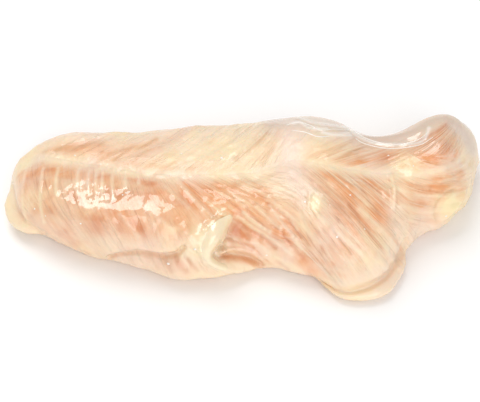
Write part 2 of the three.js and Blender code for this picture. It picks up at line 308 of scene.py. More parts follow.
# Tan smudges in the cream above the seam, and painted shade in tan along the creases and round the pads
# of fat
tanAndShadeStrokes = [
    # painted shade in the hollow under the leaf
    {"path": [(-4.6, -14.2), (-1, -14.4), (2.6, -15.2), (5.6, -16.8)], "width": 0.9, "amount": 0.9},
    {"path": [(-52, 12.6), (-48, 14), (-44, 14.8)], "width": 1.4, "amount": 1.0},
    {"path": [(-43, 14.8), (-37, 15.4)], "width": 1.0, "amount": 0.5},
    {"path": [(-36, 10.8), (-33.4, 12.6), (-29, 13.6)], "width": 0.6, "amount": 0.8},
    {"path": [(-33, 10.4), (-29.6, 13), (-25, 14.6), (-22, 16.4)], "width": 0.6, "amount": 0.95},
    {"path": [(-28, 10), (-25, 12.6), (-21, 14)], "width": 0.5, "amount": 0.8},
    {"path": [(-24, 8.6), (-20.5, 11.2), (-16.6, 13)], "width": 0.8, "amount": 0.75},
    {"path": [(-20, 8), (-15.6, 11), (-11, 13.5), (-7, 16)], "width": 0.6, "amount": 0.6},
    {"path": [(-13.5, 8), (-8.3, 11.2), (-2.6, 15.6)], "width": 0.6, "amount": 0.55},
    {"path": [(-1, 11), (3.6, 14), (7.3, 17.7)], "width": 0.7, "amount": 0.75},
    {"path": [(5.2, 10.6), (8.6, 14.3), (10.4, 18.7)], "width": 0.7, "amount": 0.7},
    {"path": [(23, 9.4), (28.6, 12.5), (33.8, 15.6)], "width": 0.7, "amount": 0.9},
    {"path": [(16.4, 10.2), (20.8, 13.5), (26.8, 16.4)], "width": 0.6, "amount": 0.75},
    {"path": [(19, 9.6), (24.6, 13), (30.6, 16.4)], "width": 0.4, "amount": 0.7},
    # painted shade along the crease under the belly
    {"path": [(-37, -17), (-32, -14.2), (-26.5, -13.2), (-22.6, -13.5), (-18.5, -14.1), (-15.9, -13.4)],
     "width": 0.45, "amount": 0.65},
    # painted shadow of the body's edge along the lip
    {"path": [(20, -21.6), (27, -23.2), (34, -21.4), (40, -15.8)], "width": 0.6, "amount": 0.6},
    # painted shade round the fleck of fat
    {"path": [(17.4, 2.6), (16.6, -0.6), (18.2, -3.6), (20.6, -3.4)], "width": 0.45, "amount": 0.65},
    {"path": [(-22.4, -14.8), (-21, -17.4)], "width": 0.6, "amount": 0.6},
    {"path": [(-19.4, -14.8), (-17.4, -18)], "width": 0.7, "amount": 0.8},
    {"path": [(-16, -14), (-13.6, -17.8)], "width": 0.8, "amount": 0.9},
    {"path": [(-13, -14.6), (-10.6, -17.6)], "width": 0.5, "amount": 0.7},
    {"path": [(-28, -14.4), (-27, -16.6)], "width": 0.5, "amount": 0.4},
    # painted shade round the pad of fat at the right end
    {"path": [(51.4, -5.4), (50.2, -2.6), (51, 0.4), (53, 2.2)], "width": 0.5, "amount": 0.6},
    # painted shade where the belly's left end lies over the tag of fat
    {"path": [(-60.2, 3.6), (-58.6, -1), (-55.4, -5.6), (-51, -8.8)], "width": 0.6, "amount": 0.55},
]

# Pale cords, which also stand up
paleStrokes = [
    {"path": [(19.8, -4), (25.5, -9), (31.2, -14.3), (33.8, -18.7)], "width": 1.2, "amount": 0.85},
    {"path": [(25, -6), (30.2, -11), (35.4, -15.6)], "width": 0.6, "amount": 0.8},
    {"path": [(8.6, -1.3), (15, -5.7), (19.8, -10.4)], "width": 0.6, "amount": 0.7},
    {"path": [(0.9, -2.9), (4.3, -5.8), (7.5, -7.7)], "width": 0.6, "amount": 0.85},
    {"path": [(4.3, -1.5), (7.2, -4.4), (10.1, -6.9)], "width": 0.55, "amount": 0.85},
    {"path": [(7.6, -1.1), (9.4, -4), (12.7, -8), (15.4, -12)], "width": 0.5, "amount": 0.8},
    {"path": [(-0.5, -4), (3.6, -6.9), (9.4, -10.6), (13, -13.5)], "width": 0.6, "amount": 0.8},
    {"path": [(-3.7, -10.4), (1.4, -11.7), (5.7, -14.6)], "width": 0.6, "amount": 0.55},
    {"path": [(-1.6, -9.6), (4.4, -11.2), (9.6, -14.8)], "width": 0.5, "amount": 0.6},
    {"path": [(-0.8, 6.2), (2.8, 4), (7.2, 0.7), (11.5, -2.8), (14.4, -7)], "width": 0.45,
     "amount": 0.6},
    {"path": [(-2.7, 5.8), (1.4, 4), (4.3, 2.2)], "width": 0.4, "amount": 0.5},
    {"path": [(-30, -3.4), (-25.6, -9)], "width": 0.6, "amount": 0.55},
    {"path": [(-25, -0.4), (-17, -7)], "width": 0.6, "amount": 0.5},
    {"path": [(-20, 4.4), (-13, -1.6)], "width": 0.5, "amount": 0.5},
    {"path": [(30, -2), (36, -7.6), (40, -12)], "width": 0.8, "amount": 0.7},
    {"path": [(40, 3.2), (47, 1.3), (55, 1.6)], "width": 0.7, "amount": 0.8},
    {"path": [(41, -1.2), (48, -2.8), (51, -2.6)], "width": 0.6, "amount": 0.7},
    {"path": [(44, 7.6), (52, 7), (58.6, 9.6)], "width": 0.7, "amount": 0.7},
]

# Dark lines between and below the cords, which also sink in
darkStrokes = [
    {"path": [(1.7, -1.8), (2.8, -3.6), (7.2, -7.3)], "width": 0.42, "amount": 0.8},
    {"path": [(3.5, -0.7), (6.5, -3.6), (9.4, -6.6)], "width": 0.4, "amount": 0.75},
    {"path": [(7.2, -0.7), (8.6, -2.9), (10.8, -5.8), (13.7, -9.1)], "width": 0.42, "amount": 0.8},
    {"path": [(9.4, -2.2), (12.3, -5.1), (15.2, -9.1)], "width": 0.4, "amount": 0.75},
    {"path": [(-1.6, -4.7), (1.4, -6.9), (5.7, -9.1), (9, -12)], "width": 0.5, "amount": 0.8},
    {"path": [(-3.4, -8.6), (-0.5, -10.2), (3, -12.4)], "width": 0.6, "amount": 0.8},
    # painted shade in the hollow under the leaf
    {"path": [(-4.4, -14), (-1, -14.3), (2.6, -15.1), (5.4, -16.6)], "width": 0.8, "amount": 0.55},
    {"path": [(10.8, -8.4), (13, -11.3), (15.9, -14.2)], "width": 0.5, "amount": 0.7},
    {"path": [(9.4, -15.4), (12.4, -17.6)], "width": 0.5, "amount": 0.5},
    {"path": [(20, -3), (24, -8), (28, -13)], "width": 0.45, "amount": 0.5},
    {"path": [(27.4, -1), (32, -7), (36.4, -13)], "width": 0.45, "amount": 0.5},
]

# The film of marinade that gathers along the upper edge, and its thick rims
film = {
    "pool": [(8, 21.5), (15, 22.4), (22, 21.6), (29, 19.2), (36, 16.8), (42, 17), (48, 19.8),
             (54, 22.4), (59, 19), (61.5, 14)],
    "width": 2.6,
    # the rims are painted near white: partly the thicker marinade's colour, partly a painted glint
    "rims": [
        [(14, 20.6), (16, 20.8), (18.6, 19.2), (23, 19)],
        [(21.6, 18), (25, 17.4), (29, 17.4)],
        [(30, 18), (34.8, 15.7), (41.6, 14.9), (47.6, 15.7), (50, 19.3)],
        [(15.5, 22.4), (20, 20.6), (27, 19.6), (32, 17.6)],
    ],
    "raised": 0.32,
    "rimWidth": 0.42,
    "calmed": 1.4,  # the skin is calmer this many widths round the pool
}

# Sharp creases, hollows and ridges that the solid only hints at: path, width and depth or height
folds = [
    {"path": [(-38, -17.6), (-35, -15.9), (-32.2, -14), (-26.5, -13), (-22.6, -13.3), (-18.5, -13.9),
              (-15.9, -13.2), (-14.2, -11.6)], "width": 0.6, "amount": -1.3},
    {"path": [(-34, -13.2), (-27, -11.4), (-19, -12), (-15.8, -11)], "width": 1.3, "amount": 0.5},
    {"path": [(17, -19.6), (20.5, -21.4), (24.2, -22.6), (27.6, -22.9), (30.7, -22.2), (33.5, -21.2),
              (37.4, -18.8), (40, -16), (41.6, -13.6), (43.2, -10.4)], "width": 0.8, "amount": -1.4},
    {"path": [(20, -19), (27, -20.8), (34, -19), (38.6, -15.2)], "width": 1.5, "amount": 0.5},
    {"path": [(-3.9, -4.6), (-4.3, -8), (-4.2, -11), (-5.6, -13.4)], "width": 1.0, "amount": -1.5},
    {"path": [(-5.6, -14.6), (-2, -13.6), (1.6, -14.4), (4.4, -16), (6.6, -18)], "width": 0.7,
     "amount": -0.9},
    {"path": [(-4.4, -13.2), (-1.4, -12.2), (2.4, -13), (5.6, -15)], "width": 0.6, "amount": 0.5},
    {"path": [(-9.8, -12.6), (-7.8, -15.2), (-4.2, -16.9), (0.4, -18)], "width": 0.8, "amount": 0.7},
    {"path": [(-12.6, -11.6), (-10.8, -13.6), (-9.6, -16.4), (-6, -18.4)], "width": 0.5,
     "amount": -0.6},
    {"path": [(-60.4, 4), (-59.3, 0.4), (-57.2, -3.6), (-54.3, -6.6), (-51, -8.6)], "width": 0.6,
     "amount": -0.8},
    {"path": [(51.2, -4.8), (50.4, -2.6), (51.4, 0), (53.2, 1.9), (55.6, 3.2)], "width": 0.5,
     "amount": -0.5},
    {"path": [(38.2, 6), (38.3, 2.8), (38, -1.6)], "width": 0.4, "amount": -0.3},
    {"path": [(39.2, 6.6), (39.4, 2.8), (39, -2)], "width": 0.45, "amount": 0.45},
    {"path": [(17.4, 1.6), (17.2, -1.6), (19, -4)], "width": 0.4, "amount": -0.35},
    {"path": [(-15.9, 5.5), (-11.6, 0.5), (-7, -3.9)], "width": 0.5, "amount": 0.3},
    {"path": [(17, 9.4), (24, 13.4), (30, 15.4)], "width": 0.8, "amount": -0.4},
    {"path": [(-49, 13), (-38, 16.4), (-26, 19.4)], "width": 0.9, "amount": -0.5},
    {"path": [(-35, 9.6), (-24, 14.4), (-14, 19.8)], "width": 0.8, "amount": -0.5},
    {"path": [(-20, 8.2), (-8, 13), (0, 18)], "width": 0.8, "amount": -0.4},
]

# How far the pale cords stand up and the dark lines sink in
strand = {"raised": 0.25, "sunk": 0.4}

# Places where the skin swells, or sinks where the amount is negative, and how wet each place is.
# Patches are x, h, reach along, reach across, turn and amount.
swells = [
    (-13.6, -7.4, 1.5, 2.4, -0.3, 1.0), (-12.6, -10.6, 1.2, 1.4, 0, 0.5),
    (19.4, -0.6, 1.7, 2.4, 0.1, 0.25), (45, 11.2, 3.2, 2.2, -0.4, 0.2),
    (-1, -8.4, 3, 4.4, -0.3, -1.2), (1, -14.6, 6, 1.8, -0.2, -0.8),
    (-13.6, -15, 2.4, 1.6, -0.5, -1.0),
]
gloss = {
    "base": 0.4,
    "least": 0.08,
    "uneven": 0.12,
    "patch": 8,
    "wet": [
        (-36, 0, 18, 6.4, 0, 0.6), (-7, -8, 4, 6, -0.4, 0.6), (18, 0, 3, 3, 0, 0.5),
        (31, 4, 3, 3, 0, 0.5), (28, 19, 24, 4, -0.1, 0.6), (8, -12, 6, 4, 0, 0.3),
        (-20, -14, 10, 2, 0, 0.4),
    ],
    "dull": [
        (-6, 8, 22, 2.8, 0, 0.3), (12, 11, 9, 8, 0, 0.45), (43, 10.4, 5, 3, 0, 0.3),
        (-30, 13, 30, 5, 0.05, 0.35), (18, -1, 6, 5, 0, 0.35),
    ],
}

# The body: the solid's skin made even and fine, then moved point by point
fleshMesh = {"voxel": 0.00085, "smooth": 5}
relief = {
    "lumps": (0.30, 11),  # amount and size, as in knots, grain and jitter
    "knots": (0.11, 3.6),
    "grain": (0.045, 1.5),
    "bundles": 0.27,
    "bundlePitch": 4.4,
    "arcs": 0.27,
    "arcPitch": 3.1,
    "jitter": (0.35, 9),
    "roundness": 0.6,
    "trough": 0.7,
    "bundlesFrom": (-14, -4),
    "seamGap": (0.5, 4),
    "facing": (0.05, 0.5),
    "calm": 0.9,
    "flatBelow": 0.9,
    "smooth": [
        (31, -24.5, 15, 5, 0.15, 1.2), (-61.5, -2, 4, 8, 0, 1.2), (55, -1.2, 3.4, 4, 0, 1.0),
    ],
}


def deselectAll():
    bpy.ops.object.select_all(action="DESELECT")


def pickOnly(piece):
    deselectAll()
    piece.select_set(True)
    bpy.context.view_layer.objects.active = piece


def applyModifier(piece, kind, **settings):
    modifier = piece.modifiers.new(kind.title(), kind)
    for name, value in settings.items():
        setattr(modifier, name, value)
    pickOnly(piece)
    bpy.ops.object.modifier_apply(modifier=modifier.name)


def readPoints(mesh):
    places = np.empty(len(mesh.vertices) * 3)
    mesh.vertices.foreach_get("co", places)
    normals = np.empty(len(mesh.vertices) * 3)
    mesh.vertex_normals.foreach_get("vector", normals)
    return places.reshape(-1, 3) / mm, normals.reshape(-1, 3)


def writePoints(mesh, places):
    mesh.vertices.foreach_set("co", (places * mm).ravel())
    mesh.update()


def addAttribute(mesh, name, values):
    layer = mesh.attributes.new(name, "FLOAT_VECTOR", "POINT")
    layer.data.foreach_set("vector", values.astype(np.float32).ravel())


def faceSpots(places):
    x = places[:, 0] + face["middle"][0]
    y = places[:, 1] + face["middle"][1]
    h = y * math.sin(face["lean"]) + places[:, 2] * math.cos(face["lean"]) - face["zero"]
    return np.stack([x, h], 1)


def copyFlesh():
    pickOnly(frame["nodes"]["tenderloin"])
    bpy.ops.object.duplicate()
    flesh = bpy.context.view_layer.objects.active
    flesh.name = "marinated_tenderloin"
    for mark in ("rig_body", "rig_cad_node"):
        if mark in flesh:
            del flesh[mark]
    bpy.ops.object.parent_clear(type="CLEAR_KEEP_TRANSFORM")
    bpy.ops.object.mode_set(mode="EDIT")
    bpy.ops.mesh.select_all(action="SELECT")
    bpy.ops.mesh.remove_doubles(threshold=1e-6)
    bpy.ops.object.mode_set(mode="OBJECT")
    applyModifier(flesh, "REMESH", mode="VOXEL", voxel_size=fleshMesh["voxel"])
    applyModifier(flesh, "SMOOTH", factor=0.5, iterations=fleshMesh["smooth"])
    applyModifier(flesh, "SUBSURF", levels=1, render_levels=1)
    return flesh


def scaledNoise(places, kind, seed):
    amount, size = relief[kind]
    return amount * wavyNoise(places, size, seed)


def unevenness(places, still, facing):
    # lumps, knots and grain of the whole skin
    rough = scaledNoise(places, "knots", 2) + scaledNoise(places, "grain", 3) * facing
    return scaledNoise(places, "lumps", 1) + still * rough


def rounded(turns):
    # round backs with narrow troughs between them, one to each turn
    return np.abs(np.cos(math.pi * turns)) ** relief["roundness"] - relief["trough"]


def bundleRelief(places, spots, still, facing):
    # rounded bundles along the fibres, and along the arcs at the right end
    over, fibre, arcs = fibreMap(spots)
    jitter = scaledNoise(places, "jitter", 4)
    straight = rounded(fibre[:, 0] / relief["bundlePitch"] + jitter)
    curved = rounded(arcs[:, 0] / relief["arcPitch"] + jitter)
    strength = smoothStep(*relief["bundlesFrom"], spots[:, 0])
    strength *= smoothStep(*relief["seamGap"], np.abs(over))
    strength *= (0.5 + 0.5 * facing) * still * (1 - fibre[:, 2])
    return relief["bundles"] * straight * strength + relief["arcs"] * curved * fibre[:, 2] * facing


def drawnRelief(spots):
    # ribs, swellings, cords, dark lines, folds and rims as they lie on the face
    lift = ribs["raised"] * strokes(spots, ribStrokes()) + patches(spots, swells)
    lift += strand["raised"] * strokes(spots, paleStrokes)
    lift -= strand["sunk"] * strokes(spots, darkStrokes)
    for fold in folds:
        lift += fold["amount"] * bell(distanceTo(spots, fold["path"]), fold["width"])
    for rim in film["rims"]:
        lift += film["raised"] * bell(distanceTo(spots, rim), film["rimWidth"])
    return lift


def raiseRelief(flesh):
    places, normals = readPoints(flesh.data)
    spots = faceSpots(places)
    facing = smoothStep(*relief["facing"], normals @ faceOut)
    free = smoothStep(0, relief["flatBelow"], places[:, 2])
    smoothed = bell(distanceTo(spots, film["pool"]), film["calmed"] * film["width"])
    smoothed += patches(spots, relief["smooth"])
    still = 1 - relief["calm"] * np.clip(smoothed, 0, 1)
    lift = unevenness(places, still, facing) + bundleRelief(places, spots, still, facing)
    lift += drawnRelief(spots) * facing
    writePoints(flesh.data, places + normals * (lift * free)[:, None])
    flesh.data.shade_smooth()


# How the sides away from the face are painted, where the streaks start, and which colours each
# attribute of the mesh carries
hiddenSides = {"orange": 0.5, "uneven": 0.35, "patch": 16, "lessCream": 0.3, "tan": 0.5, "smudge": 12}
streakStart = {"least": 0.22, "between": (-22, -10), "slant": 0.6}
paintFacing = {"colours": (-0.1, 0.4), "fibres": (0.05, 0.45)}
painted = {
    "zones": ("orange", "cream", "fat"),
    "wet": ("fascia", "pool", "deep"),
    "marks": ("tan", "rims", "streaky"),
}


def streakiness(spots, over, even):
    # little on the left belly, full from its right end on
    slanted = spots[:, 0] + streakStart["slant"] * over
    least = streakStart["least"]
    return (least + (1 - least) * smoothStep(*streakStart["between"], slanted)) * (1 - even)


def paintAmounts(places, spots, over, facing):
    # how much of each colour lies at each point, on the face and on the sides away from it
    away = 1 - facing
    hidden = hiddenSides["orange"] + hiddenSides["uneven"] * wavyNoise(places, hiddenSides["patch"], 5)
    smudges = np.clip(wavyNoise(places, hiddenSides["smudge"], 6), 0, 1)
    seamBand = bell(np.abs(over), seam["width"])
    paleRibs = ribs["pale"] * strokes(spots, ribStrokes())
    pale = np.maximum(strokes(spots, creamStrokes + paleStrokes), paleRibs)
    # near-white lines along the rims: the thicker marinade, and partly a painted glint
    rims = np.max([bell(distanceTo(spots, rim), film["rimWidth"]) for rim in film["rims"]], axis=0)
    share = {name: np.clip(patches(spots, marks), 0, 1) for name, marks in zones.items()}
    orange = np.maximum(share["orange"], strokes(spots, orangeStrokes))
    cream = np.maximum.reduce([share["cream"], seamBand, pale])
    hiddenCream = np.clip(hidden - hiddenSides["lessCream"], 0, 1)
    return {
        "orange": orange * facing + hidden * away,
        "cream": cream * facing + hiddenCream * away,
        "fat": share["fat"],
        "fascia": share["fascia"] * facing,
        "pool": bell(distanceTo(spots, film["pool"]), film["width"]) * facing,
        "deep": np.maximum(share["deep"], strokes(spots, darkStrokes)) * facing,
        # tan of the flesh, with painted shade along the creases and under the leaf
        "tan": strokes(spots, tanAndShadeStrokes) * facing + hiddenSides["tan"] * smudges * away,
        "rims": rims * facing,
        "streaky": streakiness(spots, over, share["even"]),
    }


def paintZones(flesh):
    # writes what lies where into the mesh, for the material to read
    places, normals = readPoints(flesh.data)
    spots = faceSpots(places)
    outward = normals @ faceOut
    over, fibre, arcs = fibreMap(spots)
    turned = 1 - smoothStep(*paintFacing["fibres"], outward)
    amounts = paintAmounts(places, spots, over, smoothStep(*paintFacing["colours"], outward))
    addAttribute(flesh.data, "fibre", fibre)
    addAttribute(flesh.data, "arcs", np.column_stack([arcs, turned]))
    addAttribute(flesh.data, "shine", np.stack([wetness(places, spots)] * 3, 1))
    for attribute, names in painted.items():
        addAttribute(flesh.data, attribute, np.stack([amounts[name] for name in names], 1))


def wetness(places, spots):
    amount = gloss["base"] + patches(spots, gloss["wet"]) - patches(spots, gloss["dull"])
    amount += gloss["uneven"] * wavyNoise(places, gloss["patch"], 7)
    return np.clip(amount, gloss["least"], 1)


# Colours as they read in daylight, 0 to 255
colours = {
    "cream": (249, 224, 188),
    "orange": (234, 160, 104),
    "deep": (208, 117, 65),
    "fat": (251, 230, 180),
    "fascia": (244, 218, 201),
    "film": (213, 190, 173),
    "tan": (222, 170, 122),
    # near white of the thick marinade; on the film's rims it is partly a painted glint
    "rim": (250, 242, 232),
    "leaf": (255, 229, 190),
    "floor": (254, 254, 254),
}


def tint(name):
    channels = [c / 255 for c in colours[name]]
    return tuple(((c + 0.055) / 1.055) ** 2.4 if c > 0.04 else c / 12.92 for c in channels) + (1,)


# Node building in one line each
def addNode(tree, kind, inputs=None, **settings):
    made = tree.nodes.new(kind)
    for name, value in settings.items():
        setattr(made, name, value)
    for name, value in (inputs or {}).items():
        if isinstance(value, bpy.types.NodeSocket):
            tree.links.new(value, made.inputs[name])
        else:
            made.inputs[name].default_value = value
    return made


def math2(tree, operation, a, b, clamp=False):
    node = addNode(tree, "ShaderNodeMath", {0: a, 1: b}, operation=operation, use_clamp=clamp)
    return node.outputs[0]


def times(tree, a, b, clamp=False):
    return math2(tree, "MULTIPLY", a, b, clamp)


def plus(tree, a, b):
    return math2(tree, "ADD", a, b)


def without(tree, amount, share):
    # one less a share of the amount
    return math2(tree, "SUBTRACT", 1.0, times(tree, amount, share), True)


def mixColour(tree, amount, a, b):
    return addNode(tree, "ShaderNodeMix", {0: amount, 6: a, 7: b}, data_type="RGBA").outputs[2]


def newGroup(name, inputs, output):
    tree = bpy.data.node_groups.new(name, "ShaderNodeTree")
    for label, kind, value in inputs:
        socket = tree.interface.new_socket(label, in_out="INPUT", socket_type=kind)
        if value is not None:
            socket.default_value = value
    tree.interface.new_socket(output, in_out="OUTPUT", socket_type="NodeSocketFloat")
    return tree, tree.nodes.new("NodeGroupInput").outputs, tree.nodes.new("NodeGroupOutput")


def makeStreaks():
    # soft streaks along the fibres: 0 between them, 1 on them
    inputs = [("Fibre", "NodeSocketVector", None), ("Pitch", "NodeSocketFloat", 2.5),
              ("Length", "NodeSocketFloat", 24.0), ("Low", "NodeSocketFloat", 0.4),
              ("High", "NodeSocketFloat", 0.6)]
    tree, given, out = newGroup("fibreStreaks", inputs, "Mask")
    part = addNode(tree, "ShaderNodeSeparateXYZ", {0: given["Fibre"]}).outputs
    across = math2(tree, "DIVIDE", part[0], given["Pitch"])
    along = math2(tree, "DIVIDE", part[1], given["Length"])
    place = addNode(tree, "ShaderNodeCombineXYZ", {0: across, 1: along}).outputs[0]
    looks = {"Vector": place, "Scale": 1.0, "Detail": 3.0, "Roughness": 0.55, "Distortion": 0.25}
    noise = addNode(tree, "ShaderNodeTexNoise", looks).outputs[0]
    mask = addNode(tree, "ShaderNodeMapRange", {0: noise, 1: given["Low"], 2: given["High"]}).outputs[0]
    tree.links.new(mask, out.inputs[0])
    return tree


def makeMottle():
    # cloudy patches in the object's own space, Size in millimetres
    inputs = [("Size", "NodeSocketFloat", 6.0), ("Low", "NodeSocketFloat", 0.35),
              ("High", "NodeSocketFloat", 0.65)]
    tree, given, out = newGroup("mottle", inputs, "Mask")
    place = addNode(tree, "ShaderNodeTexCoord").outputs["Object"]
    scale = math2(tree, "DIVIDE", 1 / mm, given["Size"])
    looks = {"Vector": place, "Scale": scale, "Detail": 4.0}
    noise = addNode(tree, "ShaderNodeTexNoise", looks).outputs[0]
    mask = addNode(tree, "ShaderNodeMapRange", {0: noise, 1: given["Low"], 2: given["High"]}).outputs[0]
    tree.links.new(mask, out.inputs[0])
    return tree


def useGroup(tree, group, **inputs):
    return addNode(tree, "ShaderNodeGroup", inputs, node_tree=group).outputs[0]


def readAttribute(tree, name):
    vector = addNode(tree, "ShaderNodeAttribute", attribute_name=name).outputs["Vector"]
    return vector, addNode(tree, "ShaderNodeSeparateXYZ", {0: vector}).outputs


def newMaterial(name, **constants):
    material = bpy.data.materials.new(name)
    material.use_nodes = True
    shader = material.node_tree.nodes["Principled BSDF"]
    for label, value in constants.items():
        shader.inputs[label.replace("_", " ")].default_value = value
    return material, material.node_tree, shader


wetSkin = {"Coat_Weight": 1.0, "Coat_Roughness": 0.06, "Coat_IOR": 1.9, "Roughness": 0.45,
           "Subsurface_Weight": 0.2, "Subsurface_Radius": (1.0, 0.5, 0.3), "Subsurface_Scale": 0.0015}


# Streaks along the fibres: pitch, length, low and high. Cloudy patches: size, low and high.
streakLooks = {
    "broad": (3.6, 24.0, 0.38, 0.62),
    "middle": (1.6, 15.0, 0.36, 0.66),
    "fine": (0.6, 14.0, 0.3, 0.7),
    "sheaths": (1.1, 22.0, 0.53, 0.64),
    "grooves": (0.9, 12.0, 0.55, 0.68),
    "sinew": (0.55, 16.0, 0.56, 0.7),
}
cloudLooks = {
    "clouds": (7.0, 0.3, 0.7),
    "specks": (2.2, 0.45, 0.8),
    "blots": (3.6, 0.5, 0.72),
    "blush": (15.0, 0.4, 0.62),
    "butter": (9.0, 0.48, 0.66),
}


def fleshMasks(tree, streaks, mottle):
    # every mask that the flesh is coloured by, under its name
    fibre, fibreParts = readAttribute(tree, "fibre")
    arcs, arcParts = readAttribute(tree, "arcs")
    masks = {"turned": arcParts[2]}
    for name, (pitch, length, low, high) in streakLooks.items():
        looks = {"Pitch": pitch, "Length": length, "Low": low, "High": high}
        straight = useGroup(tree, streaks, Fibre=fibre, **looks)
        curved = useGroup(tree, streaks, Fibre=arcs, **looks)
        blend = addNode(tree, "ShaderNodeMix", {0: fibreParts[2], 2: straight, 3: curved})
        masks[name] = blend.outputs[0]
    for name, (size, low, high) in cloudLooks.items():
        masks[name] = useGroup(tree, mottle, Size=size, Low=low, High=high)
    for attribute, names in painted.items():
        masks.update(zip(names, readAttribute(tree, attribute)[1]))
    return masks


# How strongly the orange is broken up, how strongly each layer of colour covers the ones before
# it, and how high the fine fibres stand
orangeLooks = {"broad": 0.9, "middle": 0.5, "level": 0.7, "least": 0.55, "clouds": 0.75, "full": 0.85}
cover = {
    "blush": 0.55,
    "butter": 0.4,
    "sinew": 0.35,
    "grooves": 0.6,
    "tan": 0.85,
    "sheaths": 0.7,
    "deep": 0.45,
    "deepStreaks": 0.5,
    "specks": 0.25,
    "fascia": 0.75,
    "fat": 0.9,
    "pool": 0.8,
    "rims": 0.8,
    "blots": 0.6,
}
fibreBump = {"middle": 0.6, "fine": 0.25, "grooves": 0.5, "hush": 0.9, "clouds": 0.3,
             "strength": 0.7, "distance": 0.00045}


def orangeShare(tree, mask):
    # the orange zone, broken into streaks by the cream between the fibres
    broad = times(tree, mask["broad"], orangeLooks["broad"])
    banding = plus(tree, broad, times(tree, mask["middle"], orangeLooks["middle"]))
    banding = times(tree, math2(tree, "SUBTRACT", banding, orangeLooks["level"]), mask["streaky"])
    cloudy = plus(tree, orangeLooks["least"], times(tree, mask["clouds"], orangeLooks["clouds"]))
    full = plus(tree, orangeLooks["full"], banding)
    return times(tree, mask["orange"], times(tree, full, cloudy), True)


def fleshColour(tree, mask):
    cream = mixColour(tree, times(tree, mask["blush"], cover["blush"]), tint("cream"), tint("fascia"))
    cream = mixColour(tree, times(tree, mask["butter"], cover["butter"]), cream, tint("fat"))
    orange = orangeShare(tree, mask)
    streaky = mask["streaky"]
    sinew = times(tree, mask["sinew"], times(tree, streaky, cover["sinew"]))
    grooves = times(tree, times(tree, orange, cover["grooves"]), times(tree, mask["grooves"], streaky))
    sheaths = times(tree, mask["sheaths"], times(tree, streaky, cover["sheaths"]))
    deepStreaks = times(tree, mask["middle"], cover["deepStreaks"])
    spottedCream = times(tree, mask["cream"], without(tree, mask["specks"], cover["specks"]))
    blots = times(tree, mask["blots"], without(tree, streaky, 1.0))
    layers = [
        (sinew, tint("tan")),
        (grooves, tint("deep")),
        # tan, which along the creases and under the leaf is painted shade
        (times(tree, mask["tan"], cover["tan"]), tint("tan")),
        (sheaths, cream),
        (times(tree, mask["deep"], plus(tree, cover["deep"], deepStreaks)), tint("deep")),
        (spottedCream, cream),
        (times(tree, mask["fascia"], cover["fascia"]), tint("fascia")),
        (times(tree, mask["fat"], cover["fat"]), tint("fat")),
        (times(tree, mask["pool"], cover["pool"]), tint("film")),
        # the rims' near white: the thicker marinade, and partly a painted glint
        (times(tree, mask["rims"], cover["rims"]), tint("rim")),
        (times(tree, blots, times(tree, orange, cover["blots"])), tint("deep")),
    ]
    colour = mixColour(tree, orange, cream, tint("orange"))
    for amount, paint in layers:
        colour = mixColour(tree, amount, colour, paint)
    return colour


def fleshHeight(tree, mask):
    # the fine relief of the fibres, hushed where something covers them
    middle = times(tree, mask["middle"], fibreBump["middle"])
    height = plus(tree, middle, times(tree, mask["fine"], fibreBump["fine"]))
    height = math2(tree, "SUBTRACT", height, times(tree, mask["grooves"], fibreBump["grooves"]))
    hush = mask["turned"]
    for name in ("pool", "cream", "fat"):
        hush = math2(tree, "MAXIMUM", hush, mask[name])
    height = times(tree, height, without(tree, hush, fibreBump["hush"]))
    return plus(tree, height, times(tree, mask["clouds"], fibreBump["clouds"]))


def makeFleshMaterial(streaks, mottle):
    material, tree, shader = newMaterial("marinated_flesh", **wetSkin)
    mask = fleshMasks(tree, streaks, mottle)
    tree.links.new(fleshColour(tree, mask), shader.inputs["Base Color"])
    tree.links.new(readAttribute(tree, "shine")[1][0], shader.inputs["Coat Weight"])
    looks = {"Height": fleshHeight(tree, mask), "Strength": fibreBump["strength"],
             "Distance": fibreBump["distance"]}
    bump = addNode(tree, "ShaderNodeBump", looks)
    tree.links.new(bump.outputs[0], shader.inputs["Normal"])
    return material


class Face:
    # finds points of the finished skin under places on the broad face

    def __init__(self, flesh):
        self.tree = BVHTree.FromObject(flesh, bpy.context.evaluated_depsgraph_get())

    def point(self, x, h, lift=0):
        # the skin's point under (x, h), raised by lift towards the front, in metres
        up = h + face["zero"]
        start = np.array([x - face["middle"][0], up * math.sin(face["lean"]) - face["middle"][1],
                          up * math.cos(face["lean"])])
        start = (start + faceOut * face["far"]) * mm
        hit, normal, _, _ = self.tree.ray_cast(Vector(start), Vector(-faceOut))
        return hit + Vector(faceOut) * lift * mm, normal


# The leaf of torn skin at the middle: x, h, half width, and how high its left edge, middle and
# right edge stand over the flesh
leaf = {
    "stations": [
        (-2.2, -3.7, 0.4, -0.2, 0, -0.2), (-3.3, -4.8, 1.1, -0.1, 0.9, 0.7),
        (-4.7, -6.3, 1.9, -0.1, 1.4, 1.4), (-5.8, -8, 2.5, -0.3, 1.4, 1.8),
        (-7.4, -10.4, 2.1, -0.4, 1.1, 1.3), (-8.4, -12.6, 1.6, -0.5, 0.8, 0.5),
        (-8.2, -14.6, 1.2, -0.6, 0.4, 0), (-6.2, -16.2, 0.9, -0.7, 0.1, -0.5),
        (-3, -17.2, 0.7, -0.8, -0.2, -0.7),
    ],
    "across": 5,
    "thickness": 0.4,
    "rounding": 3,
}


